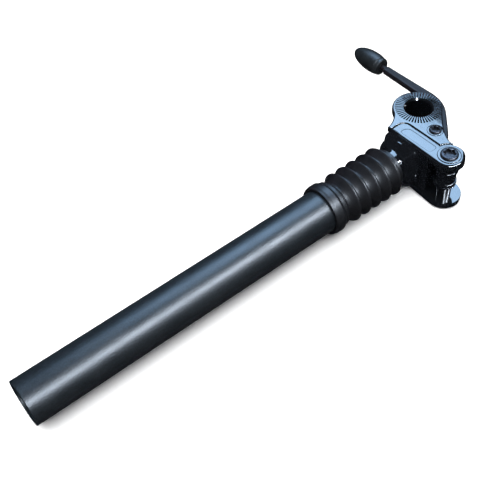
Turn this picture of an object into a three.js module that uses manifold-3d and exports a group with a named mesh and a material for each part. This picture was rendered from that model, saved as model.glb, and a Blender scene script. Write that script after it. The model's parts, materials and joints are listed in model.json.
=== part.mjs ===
// Suspension seatpost with a flip-forward head, lying on its side.
// Millimetres. X runs along the post from its bottom end to the head, +Y is the rear of the bicycle
// (the lever's side), -Y the front (the hinge's side), and Z is the hinge's direction.
import * as THREE from 'three';
import { mergeVertices } from 'three/addons/utils/BufferGeometryUtils.js';
import Module from 'manifold-3d';

const wasm = await Module();
wasm.setup();

// ---------- driving dimensions ----------
const TUBE_RADIUS = 13.6;            // a 27.2 mm post
const TUBE_WALL = 2.0;
const TUBE_LENGTH = 206;
const STANCHION_RADIUS = 10;
const STANCHION_WALL = 2;
const TRAVEL = 30;                   // suspension stroke
const RUN = 0.05;                    // radial clearance of pieces that slide or turn in each other
const GAP = 0.35;                    // gap between pieces that rest on each other
const HALF_WIDTH = 18;               // head and bracket, half of 36 mm
const BOLT_SINK = 0.8;               // how deep the bolt heads sit in their bosses
const HEAD_CLEARANCE = 0.06;         // radial clearance round a bolt head
const EAR_THICKNESS = 4.6;
const EASE = 0.5;                    // rounding of the rims of forged pieces

const UNDERSIDE_RIM = 1.8;           // rounding of the rims round the bracket's underside

const BASE_X = 270;                  // underside of the bracket
const DECK_X = 281.6;                // top of the bracket, where the head rests
const DECK_REAR_Y = 10.7;
const DECK_CORNER = 5;
const HINGE = { x: 279.4, y: -28.8, pin: 3.0, boltHead: 5.5, ear: 9.7, farEar: 11, barrel: 6.2, collar: 6.9 };
const EYE = { x: 297.6, y: 13.9, bore: 8.5, sleeve: 11, rimX: 296.9, rimY: 14.5, radius: 15.7 };
const PIVOT = { x: 289.4, y: -8, pin: 2.5, boltHead: 3.9, hub: 6 };
const LATCH = { x: 278.2, y: -6.5, radius: 2 };
const NECK = { start: 258.6, radius: 11.8, flare: 16 };
const FLANGE = { width: 31, corner: 8.5, height: 8.5, slope: 6.2 };   // under the head's heel
const SLOT_HALF = 2.9;               // slot in the head that the lever works in
const LEVER_HALF = 2.2;
const ARM = { low: 322.6, high: 329.8, end: 71.5, endLow: 323.6, endHigh: 328.8 };
const KNOB = { x: 326.3, start: 74.6, end: 101.2, radius: 7.1 };
const BOOT = { start: 202, end: 259, crest: 16.4, root: 12.9, ribs: 5, firstRib: 219.8, pitch: 8.3 };
const SPRING = { start: 34.3, end: 129.7, radius: 9, wire: 1.5, turns: 8 };

const INNER_RADIUS = TUBE_RADIUS - TUBE_WALL;
const SPRING_SEAT = { start: 17.3, rim: INNER_RADIUS - RUN, rimTop: 32.5, spigot: 6.2, spigotTop: 34 };
const EAR_INNER_Z = HALF_WIDTH - EAR_THICKNESS;
const DEG = Math.PI / 180;

// ---------- finishes ----------
function finish(color, roughness, metalness) {
  return new THREE.MeshStandardMaterial({ color, roughness, metalness });
}
const satinBlack = finish(0x1f252b, 0.42, 0.3);
const glossBlack = finish(0x16191c, 0.18, 0.35);
const leverBlack = finish(0x2b2a2d, 0.4, 0.3);
const softRubber = finish(0x2e2e33, 0.8, 0);
const hardRubber = finish(0x33373a, 0.7, 0);
const bareAlloy = finish(0xa9adb2, 0.35, 0.9);
const steel = finish(0x8d9095, 0.3, 0.95);
const blackSteel = finish(0x1a1a1c, 0.4, 0.7);
const nylon = finish(0x202124, 0.55, 0);
const bronze = finish(0xa5793f, 0.4, 0.8);
const urethane = finish(0xb98a3d, 0.5, 0);

// ---------- solids ----------
function toSolid(geometry) {
  const bare = new THREE.BufferGeometry();
  bare.setAttribute('position', geometry.getAttribute('position'));
  if (geometry.index) bare.setIndex(geometry.index);
  const merged = mergeVertices(bare, 1e-4);
  const p = merged.getAttribute('position').array;
  const index = merged.index.array;
  const triangles = [];
  let volume = 0;
  for (let i = 0; i < index.length; i += 3) {
    const [a, b, c] = [index[i], index[i + 1], index[i + 2]];
    if (a === b || b === c || c === a) continue;
    triangles.push(a, b, c);
    const [A, B, C] = [a, b, c].map((k) => new THREE.Vector3(p[3 * k], p[3 * k + 1], p[3 * k + 2]));
    volume += A.dot(B.cross(C));
  }
  if (volume < 0) triangles.reverse();
  const mesh = new wasm.Mesh({
    numProp: 3,
    vertProperties: new Float32Array(p),
    triVerts: new Uint32Array(triangles),
  });
  return new wasm.Manifold(mesh);
}

function toGeometry(solid) {
  const mesh = solid.getMesh();
  const geometry = new THREE.BufferGeometry();
  geometry.setAttribute('position', new THREE.BufferAttribute(new Float32Array(mesh.vertProperties), 3));
  geometry.setIndex(new THREE.BufferAttribute(new Uint32Array(mesh.triVerts), 1));
  geometry.computeVertexNormals();
  return geometry;
}

function piece(name, solid, material) {
  const mesh = new THREE.Mesh(toGeometry(solid), material);
  mesh.name = name;
  return mesh;
}

const joined = (first, ...rest) => rest.reduce((sum, solid) => sum.add(solid), first);
const cut = (first, ...rest) => rest.reduce((left, solid) => left.subtract(solid), first);

// Turned about the post's axis. The profile lists [radius, x] and closes on itself or on the axis.
function turned(profile, segments = 48) {
  const points = profile.map(([radius, x]) => new THREE.Vector2(radius, x));
  if (profile[0][0] > 0) points.push(points[0].clone());
  const geometry = new THREE.LatheGeometry(points, segments);
  geometry.rotateZ(-Math.PI / 2);
  return toSolid(geometry);
}

const ring = (inner, outer, from, to, segments) =>
  turned([[inner, from], [outer, from], [outer, to], [inner, to]], segments);
const rod = (radius, from, to, segments) =>
  turned([[0, from], [radius, from], [radius, to], [0, to]], segments);

// Stretches of an outline, as lists of points in X and Y.
function arc(x, y, radius, from, to, step = 6) {
  const count = Math.max(2, Math.round(Math.abs(to - from) / step));
  const points = [];
  for (let i = 0; i <= count; i += 1) {
    const angle = (from + ((to - from) * i) / count) * DEG;
    points.push([x + radius * Math.cos(angle), y + radius * Math.sin(angle)]);
  }
  return points;
}

function bend(start, pull, push, end, count = 8) {
  const curve = new THREE.CubicBezierCurve(...[start, pull, push, end].map(([x, y]) => new THREE.Vector2(x, y)));
  return curve.getPoints(count).map((point) => [point.x, point.y]);
}

// An outline made into a plate between two heights, with its rims eased when ease is given.
function plate(outline, low, high, ease = 0) {
  const shape = new THREE.Shape(outline.map(([x, y]) => new THREE.Vector2(x, y)));
  const geometry = new THREE.ExtrudeGeometry(shape, {
    depth: high - low - 2 * ease,
    bevelEnabled: ease > 0,
    bevelThickness: ease,
    bevelSize: ease,
    bevelOffset: -ease,
    bevelSegments: 2,
  });
  geometry.translate(0, 0, low + ease);
  return toSolid(geometry);
}

const block = (x0, x1, y0, y1, z0, z1) => plate([[x0, y0], [x1, y0], [x1, y1], [x0, y1]], z0, z1);

// A round bar along Z.
function bar(x, y, radius, low, high, segments = 24) {
  const geometry = new THREE.CylinderGeometry(radius, radius, high - low, segments);
  geometry.rotateX(Math.PI / 2);
  geometry.translate(x, y, (low + high) / 2);
  return toSolid(geometry);
}

// The cutter for the sunk seat of a bolt's head.
const boltSeat = (at) =>
  bar(at.x, at.y, at.boltHead + HEAD_CLEARANCE, HALF_WIDTH - BOLT_SINK - 0.3, HALF_WIDTH + 5, 32);

// A round bar along Y.
function barAlongY(x, z, radius, low, high, segments = 20) {
  const geometry = new THREE.CylinderGeometry(radius, radius, high - low, segments);
  geometry.translate(x, (low + high) / 2, z);
  return toSolid(geometry);
}

// A helix about the post's axis, for a spring's wire to follow.
class Helix extends THREE.Curve {
  constructor(radius, from, to, turns) {
    super();
    Object.assign(this, { radius, from, to, turns });
  }

  getPoint(t) {
    const angle = 2 * Math.PI * this.turns * t;
    return new THREE.Vector3(
      this.from + (this.to - this.from) * t,
      this.radius * Math.cos(angle),
      this.radius * Math.sin(angle),
    );
  }
}

function coil(radius, wire, from, to, turns, stepsPerTurn = 12) {
  const sides = 5;
  const section = new THREE.Shape();
  for (let i = 0; i < sides; i += 1) {
    const angle = (2 * Math.PI * i) / sides;
    const [x, y] = [wire * Math.cos(angle), wire * Math.sin(angle)];
    if (i === 0) section.moveTo(x, y);
    else section.lineTo(x, y);
  }
  const path = new Helix(radius, from, to, turns);
  const steps = Math.round(turns * stepsPerTurn);
  return new THREE.ExtrudeGeometry(section, { steps, extrudePath: path, bevelEnabled: false });
}

// Radial teeth round an axis along Z, rising from valley to ridge, with a foot below.
function serrations(inner, outer, teeth, foot, valley, ridge) {
  const count = 2 * teeth;
  const positions = [];
  const index = [];
  for (let i = 0; i < count; i += 1) {
    const angle = (2 * Math.PI * i) / count;
    const top = i % 2 ? valley : ridge;
    for (const [radius, z] of [[inner, foot], [outer, foot], [outer, top], [inner, top]]) {
      positions.push(radius * Math.cos(angle), radius * Math.sin(angle), z);
    }
    for (let side = 0; side < 4; side += 1) {
      const here = 4 * i + side;
      const beside = 4 * i + ((side + 1) % 4);
      const ahead = 4 * ((i + 1) % count) + side;
      const aheadBeside = 4 * ((i + 1) % count) + ((side + 1) % 4);
      index.push(here, ahead, beside, beside, ahead, aheadBeside);
    }
  }
  const geometry = new THREE.BufferGeometry();
  geometry.setAttribute('position', new THREE.Float32BufferAttribute(positions, 3));
  geometry.setIndex(index);
  return geometry;
}

// ---------- the post that clamps in the frame ----------
function outerTube() {
  const chamfer = 0.8;
  const solid = turned([
    [INNER_RADIUS + chamfer, 0],
    [TUBE_RADIUS - chamfer, 0],
    [TUBE_RADIUS, chamfer],
    [TUBE_RADIUS, TUBE_LENGTH],
    [INNER_RADIUS, TUBE_LENGTH],
    [INNER_RADIUS, chamfer],
  ], 56);
  return piece('outer_tube', solid, satinBlack);
}

const KEY = { radius: 1.2, centre: STANCHION_RADIUS + 0.2, start: 168, end: 188 };

function keyGroove(side, from, to, radius) {
  const geometry = new THREE.CylinderGeometry(radius, radius, to - from, 16);
  geometry.rotateZ(-Math.PI / 2);
  geometry.translate((from + to) / 2, 0, side * KEY.centre);
  return toSolid(geometry);
}

function guideBushing() {
  const sleeve = ring(STANCHION_RADIUS + RUN, INNER_RADIUS - RUN, 164, 193.6, 48);
  const grooves = [1, -1].map((side) => keyGroove(side, KEY.start - 1, KEY.end + 1, KEY.radius + RUN));
  return piece('guide_bushing', cut(sleeve, ...grooves), nylon);
}

function guideKeys() {
  return [1, -1].map((side, i) => piece(`guide_key_${i + 1}`,
    keyGroove(side, KEY.start, KEY.end, KEY.radius), steel));
}

function topoutBumper() {
  return piece('topout_bumper', ring(STANCHION_RADIUS + 0.4, INNER_RADIUS - 0.3, 158.8, 163.7, 32), softRubber);
}

const COLLAR = { thread: 194, shoulder: TUBE_LENGTH + 0.3, top: 212, flange: 14.5 };

function topCollar() {
  const seat = 2.3;
  const solid = turned([
    [STANCHION_RADIUS + 0.3, COLLAR.thread],
    [INNER_RADIUS - RUN, COLLAR.thread],
    [INNER_RADIUS - RUN, COLLAR.shoulder],
    [COLLAR.flange, COLLAR.shoulder],
    [COLLAR.flange, COLLAR.top],
    [STANCHION_RADIUS + seat, COLLAR.top],
    [STANCHION_RADIUS + seat, COLLAR.top - 3.6],
    [STANCHION_RADIUS + 0.3, COLLAR.top - 3.6],
  ], 36);
  return piece('top_collar', solid, bareAlloy);
}

function wiperSeal() {
  const solid = ring(STANCHION_RADIUS + RUN, STANCHION_RADIUS + 2.0, COLLAR.top - 3.3, COLLAR.top - 0.3, 40);
  return piece('wiper_seal', solid, softRubber);
}

// The bellows boot: a cuff over the collar, five ribs, and a cuff on the bracket's neck.
function boot() {
  const { start, end, crest, root, ribs, firstRib, pitch } = BOOT;
  const cuff = start + 6;
  const profile = [[TUBE_RADIUS + 0.3, start], [crest - 0.9, start + 1.8], [crest, cuff - 1.5]];
  profile.push([crest, cuff + 2], [crest - 1.1, cuff + 5]);
  for (let i = 0; i < ribs; i += 1) {
    const centre = firstRib + i * pitch;
    profile.push([root + 0.5, centre - pitch / 2], [crest - 1, centre - 2.1]);
    profile.push([crest, centre - 0.6], [crest, centre + 0.6], [crest - 1, centre + 2.1]);
  }
  const bore = NECK.radius + 0.2;
  profile.push([bore + 1.3, end - 1.6], [bore + 1.1, end], [bore, end], [bore, COLLAR.top + 0.4]);
  profile.push([COLLAR.flange + 0.3, COLLAR.top + 0.4], [COLLAR.flange + 0.3, start + 3.6]);
  profile.push([TUBE_RADIUS + 0.3, start + 1.2]);
  return piece('boot', turned(profile, 28), softRubber);
}

// ---------- preload adjuster at the bottom ----------
function preloadPlug() {
  const body = turned([[0, 5], [INNER_RADIUS - 0.7, 5], [INNER_RADIUS - RUN, 5.7], [INNER_RADIUS - RUN, 17], [0, 17]], 48);
  const keyWidth = 8;
  const hex = new THREE.CylinderGeometry(keyWidth / Math.sqrt(3), keyWidth / Math.sqrt(3), 9, 6);
  hex.rotateZ(-Math.PI / 2);
  hex.translate(8.5, 0, 0);
  return piece('preload_plug', cut(body, toSolid(hex)), bareAlloy);
}

function lowerSpringSeat() {
  const { start, rim, rimTop, spigot, spigotTop } = SPRING_SEAT;
  const solid = turned([[0, start], [rim, start], [rim, rimTop], [spigot, rimTop], [spigot, spigotTop],
    [0, spigotTop]], 40);
  return piece('lower_spring_seat', solid, nylon);
}

function elastomer() {
  return piece('elastomer', rod(5.2, 34.3, 90, 24), urethane);
}

function mainSpring() {
  const { radius, wire, start, end, turns } = SPRING;
  return piece('main_spring', toSolid(coil(radius, wire, start + wire, end - wire, turns)), steel);
}

// ---------- the sliding shaft ----------
const SLIDER = { start: 136, end: 158.5 };

function stanchion() {
  const tube = ring(STANCHION_RADIUS - STANCHION_WALL, STANCHION_RADIUS, SLIDER.start - 2, 268.2, 48);
  const grooves = [1, -1].map((side) => keyGroove(side, KEY.start - 6, KEY.end + TRAVEL + 6, KEY.radius + RUN));
  return piece('stanchion', cut(tube, ...grooves), bareAlloy);
}

function lowerSlider() {
  return piece('lower_slider',
    ring(STANCHION_RADIUS + RUN, INNER_RADIUS - RUN, SLIDER.start, SLIDER.end, 48), nylon);
}

function upperSpringSeat() {
  const outer = STANCHION_RADIUS - STANCHION_WALL - RUN;
  const solid = turned([[0, 130], [INNER_RADIUS - 0.4, 130], [INNER_RADIUS - 0.4, SLIDER.start - 2.3],
    [outer, SLIDER.start - 2.3], [outer, 148], [0, 148]], 40);
  return piece('upper_spring_seat', solid, nylon);
}

// ---------- the bracket on the shaft ----------
const LEAVE_ANGLE = 310;             // where an ear's rounded rim runs out

// The deck and the upper side of an ear; the underside is left over-size.
function deckOutline(ear) {
  const { x, y } = HINGE;
  const meet = Math.acos((DECK_X - x) / ear) / DEG;
  const spare = 3;
  return [
    [BASE_X - spare, DECK_REAR_Y],
    ...arc(x, y, ear + spare, 180, LEAVE_ANGLE - 25),
    ...arc(x, y, ear, LEAVE_ANGLE, 360 + meet),
    ...arc(DECK_X - DECK_CORNER, DECK_REAR_Y - DECK_CORNER, DECK_CORNER, 0, 90, 10),
  ];
}

// The underside and the lower side of an ear; everything above is left over-size.
function undersideOutline(ear) {
  const reach = 40;
  const round = arc(HINGE.x, HINGE.y, ear, 180, LEAVE_ANGLE);
  const leave = round[round.length - 1];
  const far = [leave[0] - reach * Math.sin(LEAVE_ANGLE * DEG), leave[1] + reach * Math.cos(LEAVE_ANGLE * DEG)];
  return [[BASE_X, reach], [BASE_X, -8], ...round, far, [far[0], reach]];
}

function forging(ear, low, high) {
  return plate(deckOutline(ear), low, high, EASE).intersect(plate(undersideOutline(ear), low, high, UNDERSIDE_RIM));
}

const EAR_GAP_Y = -21.4;             // front wall of the bracket, between the ears
const BOSS_Z = -5.3;                 // inner end of the far ear's boss
const SET_SCREW = { x: 265.5, radius: 2 };

// The neck that holds the shaft: straight, then a trumpet.
function bracketNeck() {
  const { start, radius, flare } = NECK;
  return turned([
    [0, start], [radius - 0.4, start], [radius, start + 0.4], [radius, 261.6],
    [radius + 0.4, 262.5], [radius + 1.3, 263.4], [flare - 1.2, 265.6], [flare - 0.3, 267.6],
    [flare, BASE_X + 0.3], [0, BASE_X + 0.3],
  ], 44);
}

// The wide end of the trumpet: a rounded rectangle across the post that slopes in towards the neck.
function bracketFlange() {
  const { width, corner, height, slope } = FLANGE;
  const [across, up] = [width / 2 - corner, HALF_WIDTH - 0.4 - corner];
  const outline = [[1, 1, 0], [-1, 1, 90], [-1, -1, 180], [1, -1, 270]].flatMap(([sideX, sideY, from]) =>
    arc(sideX * up, sideY * across, corner, from, from + 90, 15));
  const shape = new THREE.Shape(outline.map(([x, y]) => new THREE.Vector2(x, y)));
  const geometry = new THREE.ExtrudeGeometry(shape, {
    depth: 0.1, bevelThickness: height, bevelSize: slope, bevelOffset: -slope, bevelSegments: 1,
  });
  geometry.rotateY(Math.PI / 2);
  geometry.translate(BASE_X + 0.3, 0, 0);
  return toSolid(geometry).intersect(block(250, BASE_X + 0.3, -30, 30, -30, 30));
}

function bracket() {
  const body = joined(forging(HINGE.ear, -HALF_WIDTH, HALF_WIDTH),
    forging(HINGE.farEar, -HALF_WIDTH, -EAR_INNER_Z));
  const earGap = block(255, 300, -50, EAR_GAP_Y, -EAR_INNER_Z, EAR_INNER_Z);
  const aboveDeck = block(DECK_X, 300, -50, 0, -EAR_INNER_Z, EAR_INNER_Z);
  const farBoss = bar(HINGE.x, HINGE.y, 4.6, -EAR_INNER_Z - 0.5, BOSS_Z);
  const nearBoss = bar(HINGE.x, HINGE.y, 7.3, HALF_WIDTH - 0.5, HALF_WIDTH + 0.5, 40);
  const tongueSlot = block(272.5, 300, -14, 8, -3.2, 3.2);
  const pin = bar(LATCH.x, LATCH.y, LATCH.radius + 0.03, -30, 8, 24);
  const hinge = bar(HINGE.x, HINGE.y, HINGE.pin + 0.06, -30, 30);
  const socket = rod(STANCHION_RADIUS + 0.05, 250, 268.5, 48);
  const screw = barAlongY(SET_SCREW.x, 0, SET_SCREW.radius + 0.04, STANCHION_RADIUS - 1, 20);
  const pads = [1, -1].map((side) => block(DECK_X - 2.5, 300, -4, 4, side * 8 - 3, side * 8 + 3));
  const solid = cut(joined(cut(body, earGap, aboveDeck), farBoss, nearBoss, bracketNeck(), bracketFlange()),
    tongueSlot, pin, hinge, boltSeat(HINGE), socket, screw, ...pads);
  return piece('bracket', solid, glossBlack);
}

function bracketFittings() {
  const screw = barAlongY(SET_SCREW.x, 0, SET_SCREW.radius, STANCHION_RADIUS + 0.3, 12.1);
  const pads = [1, -1].map((side, i) => piece(`rest_pad_${i + 1}`,
    block(DECK_X - 2.2, DECK_X + 0.05, -3.7, 3.7, side * 8 - 2.7, side * 8 + 2.7), softRubber));
  return [
    piece('shaft_set_screw', screw, blackSteel),
    piece('latch_pin', bar(LATCH.x, LATCH.y, LATCH.radius, -17.4, 7.6, 24), steel),
    ...pads,
  ];
}

// A shoulder bolt along Z, its head on the near side with a hexagon socket.
function socketBolt(at, shank, headRadius, headLow, headHigh, end, key) {
  const profile = [[0, end], [shank - 0.4, end], [shank, end + 0.4], [shank, headLow], [headRadius, headLow],
    [headRadius, headHigh - 0.7], [headRadius - 0.7, headHigh], [0, headHigh]];
  const points = profile.map(([radius, z]) => new THREE.Vector2(radius, z));
  const body = new THREE.LatheGeometry(points, 24);
  body.rotateX(Math.PI / 2);
  const socket = new THREE.CylinderGeometry(key / Math.sqrt(3), key / Math.sqrt(3), 4, 6);
  socket.rotateX(Math.PI / 2);
  socket.translate(0, 0, headHigh);
  return cut(toSolid(body), toSolid(socket)).translate([at.x, at.y, 0]);
}

function hingeParts() {
  const { x, y, pin } = HINGE;
  const bolt = socketBolt(HINGE, pin, HINGE.boltHead, HALF_WIDTH - BOLT_SINK, HALF_WIDTH + 1.9, -17.4, 6);
  const washer = cut(bar(x, y, 6.6, BOSS_Z + 0.2, BOSS_Z + 1.3), bar(x, y, pin + 0.1, -20, 20));
  return [piece('hinge_bolt', bolt, blackSteel), piece('hinge_washer', washer, steel)];
}

const KNUCKLE = { low: -3.2, high: 12.6, flange: 0.5 };

function hingeBushes() {
  const { x, y, pin, barrel } = HINGE;
  const { low, high, flange } = KNUCKLE;
  const bore = bar(x, y, pin + 0.06, -20, 20);
  const near = joined(bar(x, y, barrel, high + 0.1, high + 0.1 + flange), bar(x, y, 3.9, high - 6, high + 0.3));
  const far = joined(bar(x, y, barrel, low - 0.1 - flange, low - 0.1), bar(x, y, 3.9, low - 0.3, low + 5));
  return [piece('hinge_bush_near', cut(near, bore), nylon), piece('hinge_bush_far', cut(far, bore), nylon)];
}

// ---------- the tilting head ----------
const FLANK_ANGLE = -50;             // where the front flank leaves the eye
const WAIST_ANGLE = 153;             // where the rear flank leaves the eye
const NOSE_ANGLE = 28;               // end of the arc that the head rolls on round the ears

// The head's outline, made slimmer round the eye for the part between the cheeks.
function headOutline(slimmer) {
  const radius = EYE.radius - slimmer;
  const onEye = (angle) => arc(EYE.rimX, EYE.rimY, radius, angle, angle)[0];
  const roll = HINGE.ear + GAP;
  const meet = Math.acos((DECK_X + GAP - HINGE.x) / roll) / DEG;
  const earArc = arc(HINGE.x, HINGE.y, roll, meet, NOSE_ANGLE);
  const nose = earArc[earArc.length - 1];
  const front = onEye(FLANK_ANGLE);
  const rear = onEye(WAIST_ANGLE);
  const heel = [BASE_X + 0.3 + GAP, 14.1 - slimmer];
  return [
    [heel[0], DECK_REAR_Y + GAP],
    ...arc(DECK_X - DECK_CORNER, DECK_REAR_Y - DECK_CORNER, DECK_CORNER + GAP, 90, 0, 10),
    ...earArc,
    ...bend(nose, [nose[0] + 1.2, nose[1] + 10.4], [front[0] - 8.6, front[1] - 8.6], front).slice(1),
    ...arc(EYE.rimX, EYE.rimY, radius, FLANK_ANGLE, WAIST_ANGLE).slice(1),
    ...bend(rear, [rear[0] - 0.9, rear[1] - 1.9], [heel[0] + 5.6, heel[1] + 0.5], heel).slice(1),
  ];
}

function knuckleArm() {
  const { x, y, barrel, collar } = HINGE;
  const { low, high } = KNUCKLE;
  const web = plate([
    [DECK_X + GAP, -15.5], [DECK_X + GAP, EAR_GAP_Y - 0.6], [x + 0.8, y + 4.8], [x, y], [x + barrel, y - 0.8],
    [x + 7.6, y + 3], [x + 8.8, y + 5.5], [291.6, -15.5],
  ], low, high);
  return joined(web, bar(x, y, barrel, low, high), bar(x, y, collar, low, low + 1.8),
    bar(x, y, collar, low + 9, low + 10.8));
}

const TEETH = 40;
const MIDDLE_SLIM = 1.9;             // how far the middle of the head stands back from the cheeks' outline

function toothRing(side) {
  const geometry = serrations(9.6, 15, TEETH, 16.5, 17.5, 17.95);
  if (side < 0) geometry.rotateX(Math.PI);
  return toSolid(geometry).translate([EYE.x, EYE.y, 0]);
}

function toothSeat(side) {
  const [low, high] = side > 0 ? [17.3, 19] : [-19, -17.3];
  return cut(bar(EYE.x, EYE.y, 15.1, low, high, 40), bar(EYE.x, EYE.y, 9.5, -20, 20, 40));
}

function boreChamfer(side) {
  const geometry = new THREE.CylinderGeometry(EYE.bore + 1.1, EYE.bore - 0.9, 2, 48);
  geometry.rotateX((side * Math.PI) / 2);
  geometry.translate(EYE.x, EYE.y, side * HALF_WIDTH);
  return toSolid(geometry);
}

const SPRING_POCKET = { radius: 7.6, low: -8.4 };

function tiltHead() {
  const body = joined(plate(headOutline(0), EAR_INNER_Z, HALF_WIDTH, EASE),
    plate(headOutline(0), -HALF_WIDTH, -EAR_INNER_Z, EASE),
    plate(headOutline(MIDDLE_SLIM), -EAR_INNER_Z - 1, EAR_INNER_Z + 1));
  const farRelief = bar(HINGE.x, HINGE.y, HINGE.farEar + GAP, -30, -EAR_INNER_Z + GAP, 60);
  const leverSlot = block(260, 330, -15, 40, -SLOT_HALF, SLOT_HALF);
  const sleeve = bar(EYE.x, EYE.y, EYE.sleeve, -SLOT_HALF - 0.5, SLOT_HALF + 0.5, 48);
  const seats = [1, -1].map(toothSeat);
  const teeth = [1, -1].map(toothRing);
  const frontRelief = block(275, 300, -30, -17, -EAR_INNER_Z - 0.3, EAR_INNER_Z + 0.3);
  const slotted = cut(body, leverSlot, frontRelief, farRelief, ...seats);
  const bolt = bar(PIVOT.x, PIVOT.y, PIVOT.pin + 0.05, -30, 30);
  const springPocket = bar(PIVOT.x, PIVOT.y, SPRING_POCKET.radius, SPRING_POCKET.low, 0, 40);
  const boss = bar(PIVOT.x, PIVOT.y, 5.2, HALF_WIDTH - 0.5, HALF_WIDTH + 0.3, 36);
  const solid = cut(joined(slotted, sleeve, knuckleArm(), boss, ...teeth),
    bar(EYE.x, EYE.y, EYE.bore, -30, 30, 48), boreChamfer(1), boreChamfer(-1), bolt, springPocket,
    bar(HINGE.x, HINGE.y, 3.95, -30, 30), boltSeat(PIVOT));
  return piece('tilt_head', solid, glossBlack);
}

// ---------- the release lever ----------
function leverOutline() {
  const { x, y, hub } = PIVOT;
  const relief = Math.hypot(LATCH.x - HINGE.x, LATCH.y - HINGE.y) + LATCH.radius + 0.25;
  const tipAngle = Math.acos((274 - HINGE.x) / relief) / DEG;
  const rootAngle = Math.acos((283.4 - HINGE.x) / relief) / DEG;
  return [
    ...arc(HINGE.x, HINGE.y, relief, tipAngle, rootAngle, 2),
    ...arc(x, y, hub, 200, 285, 8),
    ...bend([x + 2.4, y - 5.5], [x + 9, y - 4.2], [305.3, -7.4], [310.6, -1.7], 6),
    ...bend([321.8, 10.2], [326.6, 15.6], [ARM.high, 21.5], [ARM.high, 31], 6),
    [ARM.endHigh, ARM.end],
    [ARM.endLow, ARM.end],
    ...bend([ARM.low, 29], [ARM.low, 21], [320.5, 18.8], [316, 13.9], 6),
    ...bend([304.8, 2.8], [300.5, -1.6], [294, -2.4], [x - 1, y + 6.2], 6),
    [284, -1.2],
    [281, -0.4],
    [274, -0.3],
  ];
}

function lever() {
  const { x, y, pin } = PIVOT;
  const body = plate(leverOutline(), -LEVER_HALF, LEVER_HALF, 0.6);
  const stud = barAlongY(KNOB.x, 0, 2.1, ARM.end - 6, 92);
  const solid = cut(joined(body, stud), bar(x, y, pin + 0.06, -10, 10));
  return piece('lever', solid, leverBlack);
}

// An egg-shaped grip, fullest near its base, hollow for the lever's stud.
function leverKnob() {
  const { x, start, end, radius } = KNOB;
  const widest = 0.34;
  const profile = [[0, start], [radius * 0.78, start]];
  for (let i = 0; i <= 12; i += 1) {
    const t = i / 12;
    const swell = Math.sqrt(Math.max(0, 1 - ((t - widest) / (1 - widest)) ** 2));
    const early = 1 - 0.16 * ((widest - t) / widest) ** 2;
    profile.push([radius * (t < widest ? early : swell), start + 0.5 + (end - start - 0.5) * t]);
  }
  profile[profile.length - 1][0] = 0;
  const geometry = new THREE.LatheGeometry(profile.map(([r, along]) => new THREE.Vector2(r, along)), 32);
  geometry.translate(x, 0, 0);
  const hole = barAlongY(x, 0, 2.4, start - 3, 92.4);
  return piece('lever_knob', cut(toSolid(geometry), hole), hardRubber);
}

function leverWasher(side, name) {
  const { x, y, pin } = PIVOT;
  const [low, high] = side > 0 ? [2.3, 2.8] : [-2.8, -2.3];
  return piece(name, cut(bar(x, y, 5, low, high), bar(x, y, pin + 0.08, -10, 10)), nylon);
}

function pivotParts() {
  const { x, y, pin } = PIVOT;
  const bolt = socketBolt(PIVOT, pin, PIVOT.boltHead, HALF_WIDTH - BOLT_SINK, HALF_WIDTH + 1.5, -17.4, 4);
  const spacer = cut(bar(x, y, 3.8, -8.1, -3.05), bar(x, y, pin + 0.08, -10, 10));
  const spring = coil(5.2, 0.6, 3.8, 7.4, 3, 12);
  spring.rotateY(Math.PI / 2);
  spring.translate(x, y, 0);
  return [
    piece('lever_pivot_bolt', bolt, blackSteel),
    piece('lever_spacer', spacer, bronze),
    piece('lever_return_spring', toSolid(spring), steel),
  ];
}

// ---------- assembly ----------
const seatpost = new THREE.Group();
const shaft = new THREE.Group();
const head = new THREE.Group();
const leverGroup = new THREE.Group();
const adjuster = new THREE.Group();

leverGroup.add(lever(), leverKnob(), leverWasher(1, 'lever_washer_near'), leverWasher(-1, 'lever_washer_far'));
head.add(tiltHead(), ...hingeBushes(), ...pivotParts(), leverGroup);
shaft.add(stanchion(), lowerSlider(), upperSpringSeat(), bracket(), ...bracketFittings(), ...hingeParts(), head);
adjuster.add(preloadPlug(), lowerSpringSeat(), elastomer());
seatpost.add(outerTube(), guideBushing(), ...guideKeys(), topoutBumper(), topCollar(), wiperSeal(), boot());
seatpost.add(mainSpring(), adjuster, shaft);

// The origin is under the middle of the whole object, on the surface that it lies on.
const box = new THREE.Box3().setFromObject(seatpost);
const middle = box.getCenter(new THREE.Vector3());
seatpost.position.set(-middle.x, -middle.y, -box.min.z);

export default seatpost;
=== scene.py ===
"""A telescopic bicycle seatpost with a bellows boot and a head that tips forward, lying on its side.

Shapes are written in the post's own frame, in millimetres: X runs along the post from its bottom end,
+Y is the rear of the bicycle, where the lever points, and Z is the direction of the hinge pins, with
the post's axis at Y = Z = 0. TO_ROW takes them to the shared frame, in metres.
"""
import json
from math import acos, ceil, cos, degrees, hypot, pi, radians, sin, sqrt

import bmesh
import bpy
from mathutils import Matrix, Vector


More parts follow.
